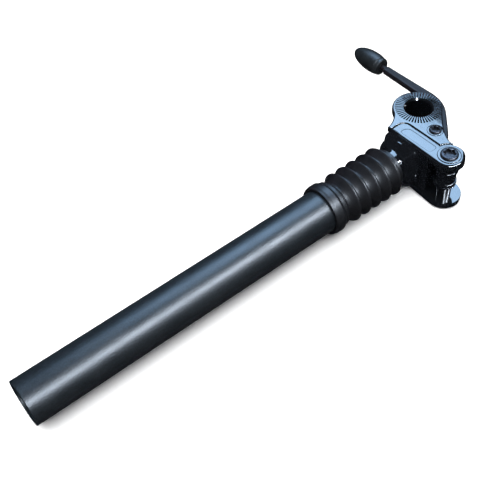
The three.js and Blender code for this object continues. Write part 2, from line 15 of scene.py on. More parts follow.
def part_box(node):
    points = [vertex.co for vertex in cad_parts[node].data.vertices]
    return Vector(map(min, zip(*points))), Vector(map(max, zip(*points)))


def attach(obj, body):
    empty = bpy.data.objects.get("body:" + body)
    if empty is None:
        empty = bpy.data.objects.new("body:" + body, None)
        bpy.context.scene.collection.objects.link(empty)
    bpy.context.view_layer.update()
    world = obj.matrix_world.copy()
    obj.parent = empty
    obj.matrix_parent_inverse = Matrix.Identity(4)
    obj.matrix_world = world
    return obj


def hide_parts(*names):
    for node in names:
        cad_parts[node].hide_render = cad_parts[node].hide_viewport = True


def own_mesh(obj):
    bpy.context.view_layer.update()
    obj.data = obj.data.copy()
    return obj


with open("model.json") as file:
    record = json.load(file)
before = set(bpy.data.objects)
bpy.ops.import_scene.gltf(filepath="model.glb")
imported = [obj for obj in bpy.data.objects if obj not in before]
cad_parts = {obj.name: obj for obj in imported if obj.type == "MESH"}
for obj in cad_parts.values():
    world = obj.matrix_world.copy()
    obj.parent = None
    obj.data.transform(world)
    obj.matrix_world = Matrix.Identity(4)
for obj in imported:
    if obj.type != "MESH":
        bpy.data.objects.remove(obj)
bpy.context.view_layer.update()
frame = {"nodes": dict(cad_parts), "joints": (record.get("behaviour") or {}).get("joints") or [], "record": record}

# ---------- places and sizes ----------
TUBE_LOW, TUBE_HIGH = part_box("outer_tube")
MM = 0.001
TO_ROW = Matrix.Translation((TUBE_LOW.x, (TUBE_LOW.y + TUBE_HIGH.y) / 2, (TUBE_LOW.z + TUBE_HIGH.z) / 2))
TO_ROW = TO_ROW @ Matrix.Scale(MM, 4)
FROM_ROW = TO_ROW.inverted()


def joint_place(name):
    """A hinge's place in the post's own frame."""
    joint = next(j for j in frame["joints"] if j["name"] == name)
    return FROM_ROW @ Vector(joint["pos_m"])


def opening_place(name):
    """The middle of a stated opening in the post's own frame."""
    opening = next(o for o in frame["record"]["physics"]["openings"] if o["name"] == name)
    low, high = (Vector(corner) for corner in opening["box_m"])
    return FROM_ROW @ ((low + high) / 2)


TUBE_RADIUS = (TUBE_HIGH.z - TUBE_LOW.z) / 2 / MM
TUBE_LENGTH = (TUBE_HIGH.x - TUBE_LOW.x) / MM
TUBE_BORE = TUBE_RADIUS - 2.0
HINGE = joint_place("head_tilt")
PIVOT = joint_place("lever_pull")
EYE = opening_place("clamp_bore")

HALF_WIDTH = 18.0               # half of the head's width
EAR_RADIUS = 9.7
FAR_EAR_RADIUS = 11.0           # the ear on the side that the bolts' ends are on
LEAVE_ANGLE = 310.0             # where an ear's rounded rim runs out
MIDDLE_SLIM = 1.9               # how far the head stands back between its cheeks
EAR_INNER = 13.4                # inner face of each hinge ear
ROLL_GAP = 0.35                 # gap between the head and the bracket that it rests on
BASE_X = 270.0                  # underside of the bracket
UNDERSIDE_RIM = 1.9             # rounding of the rims round the bracket's underside
DECK_X = 281.6                  # top of the bracket
DECK_REAR = 10.7
DECK_CORNER = 5.0
EYE_RIM = (296.9, 14.5)         # middle of the eye's outer round, a little off the bore's
EYE_RADIUS = 15.7
EYE_BORE = 8.5
HINGE_PIN, HINGE_HEAD = 3.0, 5.5
PIVOT_PIN, PIVOT_HEAD = 2.5, 3.9
BOLT_SINK = 0.8                 # how deep the bolt heads sit in their bosses
BOLT_END = -17.4                # where the bolts and the latch pin end, inside the far side
RUN = 0.06                      # clearance round a pin or a bolt head
LATCH = Vector((278.2, -6.5, 0))
LATCH_PIN = 2.0
PAD_SIDE = 8.0                  # how far the deck's rubber pads sit from the middle
NECK_RADIUS = 11.8
NECK_START = 258.6
FLARE = 16.0                    # wide end of the neck's trumpet
THROUGH = 30.0                  # half the length of a cutter that goes right through
SLOT_HALF = 2.9                 # slot in the head that the lever works in
LEVER_HALF = 2.2
ARM_LOW, ARM_HIGH, ARM_END = 322.6, 329.8, 71.5
ARM_END_LOW, ARM_END_HIGH = 323.6, 328.8
KNOB_X, KNOB_START, KNOB_END, KNOB_RADIUS = 326.3, 74.6, 101.2, 7.1
BOOT_SPLIT = 212.0              # where the boot's cuff ends and its bellows start
BOOT_END = 259.0
ROUND = 96                      # steps round a turned piece
SLIP = 0.02                     # keeps the faces of solids that are joined out of one plane


# ---------- outlines: lists of points in a plane ----------
def arc(x, y, radius, start, end, step=3.0):
    """Points round a circle, from one angle to another, in degrees."""
    count = max(2, ceil(abs(end - start) / step))
    angles = [radians(start + (end - start) * i / count) for i in range(count + 1)]
    return [(x + radius * cos(a), y + radius * sin(a)) for a in angles]


def bend(start, pull, push, end, count=14):
    """Points along a cubic curve."""
    points = []
    for i in range(count + 1):
        t = i / count
        weights = ((1 - t) ** 3, 3 * t * (1 - t) ** 2, 3 * t * t * (1 - t), t ** 3)
        pairs = list(zip(weights, (start, pull, push, end)))
        points.append(tuple(sum(weight * point[k] for weight, point in pairs) for k in (0, 1)))
    return points


def box_outline(x0, x1, y0, y1):
    """The four corners of a rectangle."""
    return [(x0, y0), (x1, y0), (x1, y1), (x0, y1)]


def rounded(points, radius, closed=True, steps=4):
    """The outline with each of its corners rounded, as far as the sides beside it allow."""
    count = len(points)
    made = []
    for i, here in enumerate(points):
        if not closed and i in (0, count - 1):
            made.append(here)
            continue
        before, after = Vector(points[i - 1]), Vector(points[(i + 1) % count])
        corner = Vector(here)
        back, ahead = before - corner, after - corner
        reach = min(radius, 0.45 * back.length, 0.45 * ahead.length)
        start, end = corner + back.normalized() * reach, corner + ahead.normalized() * reach
        for k in range(steps + 1):
            t = k / steps
            made.append(tuple(start * (1 - t) ** 2 + corner * 2 * t * (1 - t) + end * t * t))
    return made


def counterclockwise(outline):
    """The outline, turned round if it runs clockwise."""
    area = sum(a[0] * b[1] - b[0] * a[1] for a, b in zip(outline, outline[1:] + outline[:1]))
    return outline if area > 0 else outline[::-1]


def shrunk(outline, inset):
    """The outline moved inwards by inset, or outwards where it is negative."""
    made = []
    for before, here, after in zip(outline[-1:] + outline[:-1], outline, outline[1:] + outline[:1]):
        first = Vector((before[1] - here[1], here[0] - before[0])).normalized()
        second = Vector((here[1] - after[1], after[0] - here[0])).normalized()
        step = (first + second) / max(0.3, 1 + first.dot(second))
        made.append((here[0] + inset * step.x, here[1] + inset * step.y))
    return made


# ---------- solids ----------
ALONG = {
    "Z": Matrix.Identity(4),
    "X": Matrix(((0, 0, 1, 0), (1, 0, 0, 0), (0, 1, 0, 0), (0, 0, 0, 1))),
    "Y": Matrix(((0, 1, 0, 0), (0, 0, 1, 0), (1, 0, 0, 0), (0, 0, 0, 1))),
}


def solid(name, points, faces, along="Z", at=(0, 0, 0)):
    """A mesh object from points and faces, laid along an axis and moved to its place."""
    mesh = bpy.data.meshes.new(name)
    mesh.from_pydata(points, [], faces)
    mesh.transform(Matrix.Translation(at) @ ALONG[along])
    made = bpy.data.objects.new(name, mesh)
    bpy.context.scene.collection.objects.link(made)
    return made


def eased(low, high, ease, steps=3):
    """Levels of a plate between two heights whose rims are rounded: pairs of inset and height."""
    turns = [radians(90 * i / steps) for i in range(steps + 1)]
    rise = [(ease * (1 - sin(a)), low + ease * (1 - cos(a))) for a in turns]
    return rise + [(inset, low + high - height) for inset, height in reversed(rise)]


def stacked(name, outline, levels, along="Z", at=(0, 0, 0)):
    """A solid that has the outline, shrunk by the inset, at each height."""
    outline = counterclockwise(outline)
    count = len(outline)
    points, faces = [], []
    for k, (inset, height) in enumerate(levels):
        points += [(x, y, height) for x, y in shrunk(outline, inset)]
        if k:
            low, high = (k - 1) * count, k * count
            nexts = [(i + 1) % count for i in range(count)]
            faces += [(low + i, low + j, high + j, high + i) for i, j in enumerate(nexts)]
    faces.append(tuple(reversed(range(count))))
    faces.append(tuple(range(len(points) - count, len(points))))
    return solid(name, points, faces, along, at)


def turned(name, profile, along="X", at=(0, 0, 0), ease=0.0, segments=ROUND):
    """A profile of (radius, height) points, closed on itself or on the axis, spun about the axis."""
    on_axis = profile[0][0] == 0
    if ease:
        profile = rounded(profile, ease, closed=not on_axis)
    points, rings = [], []
    for radius, height in profile:
        start = len(points)
        if radius == 0:
            points.append((0, 0, height))
            rings.append([start] * segments)
        else:
            angles = [2 * pi * i / segments for i in range(segments)]
            points += [(radius * cos(a), radius * sin(a), height) for a in angles]
            rings.append(list(range(start, start + segments)))
    pairs = list(zip(rings, rings[1:]))
    if not on_axis:
        pairs.append((rings[-1], rings[0]))
    faces = []
    for low, high in pairs:
        for i in range(segments):
            j = (i + 1) % segments
            corners = list(dict.fromkeys((low[i], low[j], high[j], high[i])))
            if len(corners) > 2:
                faces.append(corners)
    return solid(name, points, faces, along, at)


def ring_profile(inner, outer, low, high):
    """The profile of a plain ring."""
    return [(inner, low), (outer, low), (outer, high), (inner, high)]


def rod_profile(radius, low, high):
    """The profile of a plain rod."""
    return [(0, low), (radius, low), (radius, high), (0, high)]


def drill(x, y, radius, low, high, segments=ROUND):
    """A plain round cutter along Z."""
    return turned("drill", rod_profile(radius, low, high), "Z", (x, y, 0), segments=segments)


def mill(x0, x1, y0, y1, z0, z1):
    """A plain block cutter."""
    return stacked("mill", box_outline(x0, x1, y0, y1), [(0, z0), (0, z1)])


def outward(piece):
    """Makes every face of a closed mesh point out."""
    work = bmesh.new()
    work.from_mesh(piece.data)
    bmesh.ops.remove_doubles(work, verts=work.verts, dist=1e-5)
    bmesh.ops.recalc_face_normals(work, faces=work.faces)
    work.to_mesh(piece.data)
    work.free()


def settle(piece):
    """Applies the modifiers of a piece to its mesh."""
    graph = bpy.context.evaluated_depsgraph_get()
    mesh = bpy.data.meshes.new_from_object(piece.evaluated_get(graph))
    piece.modifiers.clear()
    piece.data = mesh


def combined(piece, operation, tools):
    """Works each tool into the piece with one boolean, and removes the tool."""
    outward(piece)
    for tool in tools:
        outward(tool)
        modifier = piece.modifiers.new("shape", "BOOLEAN")
        modifier.object = tool
        modifier.operation = operation
        modifier.solver = "EXACT"
        settle(piece)
        bpy.data.objects.remove(tool)
    return piece


def cut(piece, *tools):
    return combined(piece, "DIFFERENCE", tools)


def overlap(piece, *tools):
    return combined(piece, "INTERSECT", tools)


def joined(piece, *tools):
    return combined(piece, "UNION", tools)


def shaded(piece, angle=32.0):
    """Smooth faces that break at sharp edges, with flat faces kept flat."""
    piece.data.shade_smooth()
    piece.data.set_sharp_from_angle(angle=radians(angle))
    modifier = piece.modifiers.new("flat faces", "WEIGHTED_NORMAL")
    modifier.keep_sharp = True
    settle(piece)


def place(piece, material, slot, body, *nodes, soft=False):
    """Moves a finished piece into the shared frame, gives it its material, hangs it on its body, and hides the
    parts that it takes the place of.
    """
    outward(piece)
    piece.data.transform(TO_ROW)
    if soft:
        piece.data.shade_smooth()
    else:
        shaded(piece)
    piece.data.materials.clear()
    piece.data.materials.append(material)
    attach(piece, body)
    if nodes:
        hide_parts(*nodes)
    return piece


# ---------- materials ----------
def linear(code):
    """An sRGB hex colour in the linear values that shaders take."""
    parts = [int(code[i:i + 2], 16) / 255 for i in (1, 3, 5)]
    return [p / 12.92 if p <= 0.04045 else ((p + 0.055) / 1.055) ** 2.4 for p in parts] + [1.0]


def add(tree, kind, inputs=None, stops=None, **settings):
    """Adds one shader node with its settings, its values and the links into it."""
    made = tree.nodes.new("ShaderNode" + kind)
    for name, value in settings.items():
        setattr(made, name, value)
    for name, value in (inputs or {}).items():
        if isinstance(value, bpy.types.NodeSocket):
            tree.links.new(value, made.inputs[name])
        else:
            made.inputs[name].default_value = value
    for i, (position, colour) in enumerate(stops or []):
        element = made.color_ramp.elements[i]
        element.position = position
        element.color = linear(colour)
    return made


def per_metre(millimetres):
    """The texture scale that makes one repeat of a pattern this long."""
    return 1 / (millimetres * MM)


def new_material(name):
    """An empty material, its node tree, and the object's own coordinates for patterns."""
    made = bpy.data.materials.new(name)
    made.use_nodes = True
    made.node_tree.nodes.clear()
    place_in_object = add(made.node_tree, "TexCoord").outputs["Object"]
    return made, made.node_tree, place_in_object


def finished(tree, **inputs):
    """The main shader and the output. An input's name has its spaces written as underscores."""
    shader = add(tree, "BsdfPrincipled", {name.replace("_", " "): value for name, value in inputs.items()})
    add(tree, "OutputMaterial", {"Surface": shader.outputs[0]})


def satin_sprayed_paint():
    """Sprayed satin black over aluminium: a pebbled skin that breaks a highlight into specks.

    The real pebbles are about 0.2 mm across. They are drawn at 0.9 mm, so that they show.
    """
    made, tree, at = new_material("satin_sprayed_paint")
    skin = add(tree, "TexNoise", {"Vector": at, "Scale": per_metre(0.9), "Detail": 3.0, "Roughness": 0.6})
    cloud = add(tree, "TexNoise", {"Vector": at, "Scale": per_metre(14), "Detail": 2.0})
    colour = add(tree, "ValToRGB", {"Fac": skin.outputs["Fac"]}, [(0.35, "#090d11"), (0.68, "#161d24")])
    gloss = add(tree, "MapRange", {"Value": cloud.outputs["Fac"], "From Min": 0.3, "From Max": 0.7,
                                   "To Min": 0.34, "To Max": 0.42})
    relief = add(tree, "Bump", {"Height": skin.outputs["Fac"], "Distance": 0.12 * MM, "Strength": 1.0})
    finished(tree, Base_Color=colour.outputs["Color"], Roughness=gloss.outputs["Result"],
             Normal=relief.outputs["Normal"])
    return made


def gloss_stoved_paint():
    """Thick stoved gloss black on a forging: a wet, sharp shine over a slow orange peel."""
    made, tree, at = new_material("gloss_stoved_paint")
    peel = add(tree, "TexNoise", {"Vector": at, "Scale": per_metre(2.6), "Detail": 2.0})
    dust = add(tree, "TexNoise", {"Vector": at, "Scale": per_metre(0.5), "Detail": 2.0})
    colour = add(tree, "ValToRGB", {"Fac": dust.outputs["Fac"]}, [(0.4, "#08090b"), (0.75, "#12151a")])
    gloss = add(tree, "MapRange", {"Value": peel.outputs["Fac"], "From Min": 0.3, "From Max": 0.7,
                                   "To Min": 0.07, "To Max": 0.12})
    relief = add(tree, "Bump", {"Height": peel.outputs["Fac"], "Distance": 0.05 * MM, "Strength": 0.35})
    finished(tree, Base_Color=colour.outputs["Color"], Roughness=gloss.outputs["Result"],
             Normal=relief.outputs["Normal"], Coat_Weight=0.6, Coat_Roughness=0.03)
    return made


def satin_lever_paint():
    """Satin black on a forged arm, a little browner than the post, with faint lengthwise marks."""
    made, tree, at = new_material("satin_lever_paint")
    stretch = add(tree, "Mapping", {"Vector": at, "Scale": (1.0, 0.12, 1.0)})
    marks = add(tree, "TexNoise", {"Vector": stretch.outputs["Vector"], "Scale": per_metre(0.8),
                                   "Detail": 3.0})
    colour = add(tree, "ValToRGB", {"Fac": marks.outputs["Fac"]}, [(0.35, "#0b0a0c"), (0.7, "#18161a")])
    relief = add(tree, "Bump", {"Height": marks.outputs["Fac"], "Distance": 0.04 * MM, "Strength": 0.4})
    finished(tree, Base_Color=colour.outputs["Color"], Roughness=0.3, Specular_IOR_Level=0.2,
             Normal=relief.outputs["Normal"])
    return made


def moulded_rubber(name, dark, light, roughness):
    """Carbon-filled rubber from a blasted mould: a dull skin with a faint bloom.

    The mould's grain is about 0.2 mm. It is drawn at 0.7 mm, so that it shows.
    """
    made, tree, at = new_material(name)
    skin = add(tree, "TexNoise", {"Vector": at, "Scale": per_metre(0.7), "Detail": 4.0, "Roughness": 0.65})
    bloom = add(tree, "TexNoise", {"Vector": at, "Scale": per_metre(7), "Detail": 3.0})
    both = add(tree, "Math", {0: skin.outputs["Fac"], 1: bloom.outputs["Fac"]}, operation="MULTIPLY")
    colour = add(tree, "ValToRGB", {"Fac": both.outputs[0]}, [(0.12, dark), (0.42, light)])
    relief = add(tree, "Bump", {"Height": skin.outputs["Fac"], "Distance": 0.06 * MM, "Strength": 0.5})
    finished(tree, Base_Color=colour.outputs["Color"], Roughness=roughness, Specular_IOR_Level=0.4,
             Normal=relief.outputs["Normal"])
    return made


def turned_metal(name, dark, light, roughness, groove=0.35):
    """Metal cut on a lathe: fine rings left by the tool, which draw a highlight out across them."""
    made, tree, at = new_material(name)
    rings = add(tree, "TexWave", {"Vector": at, "Scale": per_metre(groove) / 20, "Distortion": 0.6,
                                  "Detail": 2.0, "Detail Scale": 2.0}, bands_direction="X")
    stain = add(tree, "TexNoise", {"Vector": at, "Scale": per_metre(5), "Detail": 3.0})
    colour = add(tree, "ValToRGB", {"Fac": stain.outputs["Fac"]}, [(0.3, dark), (0.7, light)])
    relief = add(tree, "Bump", {"Height": rings.outputs["Fac"], "Distance": 0.02 * MM, "Strength": 0.4})
    finished(tree, Base_Color=colour.outputs["Color"], Metallic=1.0, Roughness=roughness,
             Normal=relief.outputs["Normal"])
    return made


def oxide_black_steel():
    """Steel dipped in hot oxide salts: a thin blue-black skin over the metal, oily and slightly uneven."""
    made, tree, at = new_material("oxide_black_steel")
    stain = add(tree, "TexNoise", {"Vector": at, "Scale": per_metre(1.2), "Detail": 3.0})
    colour = add(tree, "ValToRGB", {"Fac": stain.outputs["Fac"]}, [(0.35, "#1d1e22"), (0.7, "#3a3c42")])
    gloss = add(tree, "MapRange", {"Value": stain.outputs["Fac"], "To Min": 0.22, "To Max": 0.38})
    finished(tree, Base_Color=colour.outputs["Color"], Metallic=0.8, Roughness=gloss.outputs["Result"])
    return made


def moulded_plastic(name, dark, light, roughness):
    """Plastic from a smooth mould: an even colour with faint flow marks."""
    made, tree, at = new_material(name)
    flow = add(tree, "TexNoise", {"Vector": at, "Scale": per_metre(3), "Detail": 3.0, "Distortion": 1.5})
    colour = add(tree, "ValToRGB", {"Fac": flow.outputs["Fac"]}, [(0.35, dark), (0.7, light)])
    relief = add(tree, "Bump", {"Height": flow.outputs["Fac"], "Distance": 0.03 * MM, "Strength": 0.3})
    finished(tree, Base_Color=colour.outputs["Color"], Roughness=roughness, Normal=relief.outputs["Normal"])
    return made


POST_PAINT = satin_sprayed_paint()
HEAD_GLOSS = gloss_stoved_paint()
LEVER_PAINT = satin_lever_paint()
BOOT_RUBBER = moulded_rubber("natural_rubber_bellows", "#060608", "#141418", 0.42)
KNOB_RUBBER = moulded_rubber("grip_rubber", "#090b0d", "#171b1e", 0.42)
BARE_ALLOY = turned_metal("turned_aluminium", "#8f9499", "#c2c6ca", 0.3)
STEEL = turned_metal("ground_steel", "#6f7277", "#a6a9ad", 0.25)
BRONZE = turned_metal("sintered_bronze", "#7c5a2c", "#b48a4c", 0.4)
BLACK_STEEL = oxide_black_steel()
NYLON = moulded_plastic("black_nylon", "#121315", "#25272a", 0.5)
URETHANE = moulded_plastic("amber_urethane", "#8f6322", "#c59a4b", 0.4)


# ---------- the post ----------
def post_tube():
    """The outer tube, with eased ends and an open bore."""
    profile = ring_profile(TUBE_BORE, TUBE_RADIUS, 0, TUBE_LENGTH)
    piece = turned("post_tube", profile, ease=0.6, segments=128)
    place(piece, POST_PAINT, "post_paint", "post", "outer_tube")


CUFF_TOP = 14.95                # radius of the cuff where the bellows start


def boot_cuff():
    """The boot's lower end: a plain cuff that grips the collar at the top of the tube."""
    outer = [(13.9, 202.0), (15.7, 202.0), (16.0, 203.6), (16.3, 204.4), (16.4, 208.0), (16.0, 208.8),
             (15.1, 209.6), (CUFF_TOP, BOOT_SPLIT)]
    inner = [(12.9, BOOT_SPLIT), (14.75, 211.7), (14.75, 205.8), (13.9, 205.4)]
    piece = turned("boot_cuff", rounded(outer + inner, 0.5, steps=3), segments=128)
    place(piece, BOOT_RUBBER, "boot_rubber", "post", "boot")


RIBS = 5
RIB_PITCH = 8.3
RIB_CREST = 16.4
RIB_ROOT = 12.2


def rib_height(share):
    """How far a rib stands up at a share of its pitch: a long lower flank, a narrow crest, a steep fall."""
    crest, roundness = 0.62, 0.12
    flank = share / crest if share < crest else (1 - share) / (1 - crest)
    return (1 + roundness - hypot(1 - flank, roundness)) ** 1.5


def bellows_outer(x):
    """The radius of the bellows where it bends, between the cuff and the neck."""
    first = BOOT_SPLIT + 3.3
    share = (x - first) / RIB_PITCH
    if share < 0:
        return CUFF_TOP - (CUFF_TOP - RIB_ROOT) * sin(pi / 2 * (x - BOOT_SPLIT) / (first - BOOT_SPLIT))
    if share >= RIBS:
        return RIB_ROOT + 0.25
    return RIB_ROOT + (RIB_CREST - RIB_ROOT) * rib_height(share % 1)


def boot_bellows():
    """The boot's five ribs, as one fixed shape. The real ribs fold together as the post shortens."""
    wall = 1.3
    steps = 150
    length = BOOT_END - BOOT_SPLIT
    places = [BOOT_SPLIT + length * i / steps for i in range(steps + 1)]
    outer = [(bellows_outer(x), x) for x in places]
    inner = [(max(r - wall, 12.0 if x > BOOT_END - 3 else 10.6), x) for r, x in reversed(outer)]
    piece = turned("boot_bellows", outer + inner, segments=128)
    place(piece, BOOT_RUBBER, "boot_rubber", "post", soft=True)
    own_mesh(piece)


def coil(name, at, along, radius, wire, low, high, turns, sides=12, steps_per_turn=40):
    """A coil spring of round wire."""
    steps = int(turns * steps_per_turn)
    points, faces = [], []
    for i in range(steps + 1):
        angle = 2 * pi * turns * i / steps
        height = low + (high - low) * i / steps
        out = Vector((cos(angle), sin(angle), 0))
        centre = out * radius + Vector((0, 0, height))
        for k in range(sides):
            turn = 2 * pi * k / sides
            points.append(centre + out * wire * cos(turn) + Vector((0, 0, wire * sin(turn))))
    for i in range(steps):
        for k in range(sides):
            here, beside = i * sides + k, i * sides + (k + 1) % sides
            faces.append((here, beside, beside + sides, here + sides))
    faces.append(tuple(range(sides)))
    faces.append(tuple(range(steps * sides, (steps + 1) * sides)))
    return solid(name, points, faces, along, at)


def springs():
    """The main spring in the tube, and the lever's return spring in the head."""
    low, high = 34.4, 129.6
    wire = 1.5
    piece = coil("main_coil_spring", (0, 0, 0), "X", 9.0, wire, low + wire, high - wire, 8)
    place(piece, STEEL, "steel", "post", "main_spring", soft=True)
    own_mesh(piece)
    wire = 0.55
    piece = coil("lever_coil_spring", (PIVOT.x, PIVOT.y, 0), "Z", 5.2, wire, -7.4, -3.8, 3)
    place(piece, STEEL, "steel", "head", "lever_return_spring", soft=True)


def preload_adjuster():
    """The plug in the tube's mouth, with a hexagon socket for the key."""
    key = 8.0
    body = turned("preload_adjuster", rod_profile(TUBE_BORE - 0.05, 5, 17), ease=0.7)
    corners = [(key / sqrt(3) * cos(k * pi / 3), key / sqrt(3) * sin(k * pi / 3)) for k in range(6)]
    socket = stacked("socket", rounded(corners, 0.5), [(-0.8, 4), (0, 5.8), (0, 13)], "X")
    cut(body, socket)
    place(body, BARE_ALLOY, "bare_alloy", "adjuster", "preload_plug")


# ---------- the bracket on the sliding shaft ----------
def deck_outline(ear):
    """The deck and the upper side of an ear. The underside is left over-size."""
    meet = degrees(acos((DECK_X - HINGE.x) / ear))
    spare = 3.0
    points = [(BASE_X - spare, DECK_REAR)]
    points += arc(HINGE.x, HINGE.y, ear + spare, 180, LEAVE_ANGLE - 25)
    points += arc(HINGE.x, HINGE.y, ear, LEAVE_ANGLE, 360 + meet)
    points += arc(DECK_X - DECK_CORNER, DECK_REAR - DECK_CORNER, DECK_CORNER, 0, 90, 6)
    return points


def underside_outline(ear):
    """The underside and the lower side of an ear. Everything above is left over-size."""
    reach = 40.0
    angle = radians(LEAVE_ANGLE)
    far = (HINGE.x + ear * cos(angle) - reach * sin(angle),
           HINGE.y + ear * sin(angle) + reach * cos(angle))
    rim = arc(HINGE.x, HINGE.y, ear, 180, LEAVE_ANGLE)
    return [(BASE_X, reach), (BASE_X, -8.0)] + rim + [far, (far[0], reach)]


def forging(name, ear, low, high, inset=0.0):
    """A slab of the bracket whose rims are rounded more round the underside than on the deck."""
    deck, underside = shrunk(deck_outline(ear), inset), shrunk(underside_outline(ear), inset)
    body = stacked(name, deck, eased(low, high, 0.6))
    return overlap(body, stacked("underside", underside, eased(low, high, UNDERSIDE_RIM, 5)))


EAR_GAP_Y = -21.4                # front wall of the bracket, between its ears


def ear_gap():
    """The space between the ears, with rounded inner corners."""
    outline = box_outline(-60, EAR_GAP_Y, -EAR_INNER, EAR_INNER)
    corners = rounded(outline, 2.4)
    return stacked("ear gap", corners, [(0, BASE_X - 20), (0, BASE_X + 40)], "X")


def bracket_neck():
    """The neck that holds the shaft: straight, then a trumpet."""
    r, wide = NECK_RADIUS, FLARE
    profile = [(0, NECK_START), (r - 0.4, NECK_START), (r, NECK_START + 0.4), (r, 261.4)]
    profile += bend((r, 261.4), (r, 263.2), (r + 1.2, 263.6), (r + 2.2, 264.6), 8)[1:]
    profile += bend((wide - 1.2, 265.6), (wide - 0.3, 266.6), (wide, 268), (wide, BASE_X + 0.3), 6)
    return turned("bracket neck", profile + [(0, BASE_X + 0.3)])


def bracket_flange():
    """The trumpet's wide end, a rounded rectangle under the head's heel that slopes in towards the neck."""
    rear, side = 15.5, HALF_WIDTH - 0.4
    outline = rounded(box_outline(-rear, rear, -side, side), 12.0, steps=10)
    levels = [(6.2, 261.8), (5.2, 263.2), (4.2, 264.6), (3.1, 266.0), (2.0, 267.4), (1.1, 268.6),
              (0.45, 269.6), (0.0, BASE_X + 0.1), (0.1, BASE_X + 0.3)]
    return stacked("bracket flange", outline, levels, "X")


def bolt_seat(at, radius):
    """The cutter for the sunk seat of a bolt's head."""
    return drill(at.x, at.y, radius + RUN, HALF_WIDTH - BOLT_SINK - 0.3, HALF_WIDTH + 5)


def strap_panel(side):
    """A shallow sunk panel along the strap, on one side."""
    outline = [(272.6, 5.5), (272.6, -19.5), (279.0, -19.5), (279.0, 3.0), (276.4, 5.5)]
    depth = 0.35
    levels = [(0.35, HALF_WIDTH - depth), (0.0, HALF_WIDTH - depth / 2), (-0.4, HALF_WIDTH + 0.6)]
    return stacked("strap panel", rounded(outline, 2.2, steps=6), [(i, side * z) for i, z in levels])


def bracket():
    """The forged bracket: deck, two ears, bosses and neck, with their pockets and bores."""
    body = forging("bracket_forging", EAR_RADIUS, -HALF_WIDTH + 0.9, HALF_WIDTH)
    joined(body, forging("far ear", FAR_EAR_RADIUS, -HALF_WIDTH, -EAR_INNER + 1.1, SLIP))
    cut(body, ear_gap(), mill(DECK_X, DECK_X + 20, -50, 0, -EAR_INNER, EAR_INNER))
    at_hinge = (HINGE.x, HINGE.y, 0)
    far_boss = turned("boss", rod_profile(4.6, -EAR_INNER - 0.5, -5.3), "Z", at_hinge, ease=0.3)
    near_profile = rod_profile(7.3, HALF_WIDTH - 0.8, HALF_WIDTH + 0.5)
    near_boss = turned("boss", near_profile, "Z", at_hinge, ease=0.45)
    joined(body, far_boss, near_boss, bracket_neck(), bracket_flange())
    latch_pocket = mill(272.5, 300, -14, 8, -3.2, 3.2)
    cut(body, strap_panel(1), strap_panel(-1), latch_pocket)
    latch_hole = drill(LATCH.x, LATCH.y, LATCH_PIN + 0.03, -THROUGH, 8)
    hinge_hole = drill(HINGE.x, HINGE.y, HINGE_PIN + RUN, -THROUGH, THROUGH)
    cut(body, latch_hole, hinge_hole, bolt_seat(HINGE, HINGE_HEAD))
    cut(body, turned("shaft bore", rod_profile(10.05, 250, 268.5)))
    cut(body, turned("screw hole", rod_profile(2.04, 9, 20), "Y", (265.5, 0, 0), segments=32))
    for side in (PAD_SIDE, -PAD_SIDE):
        cut(body, mill(DECK_X - 2.5, 300, -4, 4, side - 3, side + 3))
    place(body, HEAD_GLOSS, "head_gloss", "shaft", "bracket")


def lobed(radius, depth, lobes=6):
    """The outline of a six-lobed key socket."""
    return [(r * cos(a), r * sin(a)) for a in (2 * pi * i / 96 for i in range(96))
            for r in (radius + depth * cos(lobes * a),)]


def socket_bolt(name, at, shank, head, low, high, end, key, body, node):
    """A shoulder bolt along Z with a button head and a lobed key socket."""
    profile = [(0, end), (shank, end), (shank, low), (head, low), (head, high - 0.5), (head - 0.7, high),
               (0, high)]
    piece = turned(name, profile, "Z", (at.x, at.y, 0), ease=0.35)
    levels = [(0, high - 2.2), (0, high - 0.3), (-0.4, high + 0.2)]
    cut(piece, stacked("socket", lobed(key, 0.12 * key), levels, at=(at.x, at.y, 0)))
    place(piece, BLACK_STEEL, "black_steel", body, node)


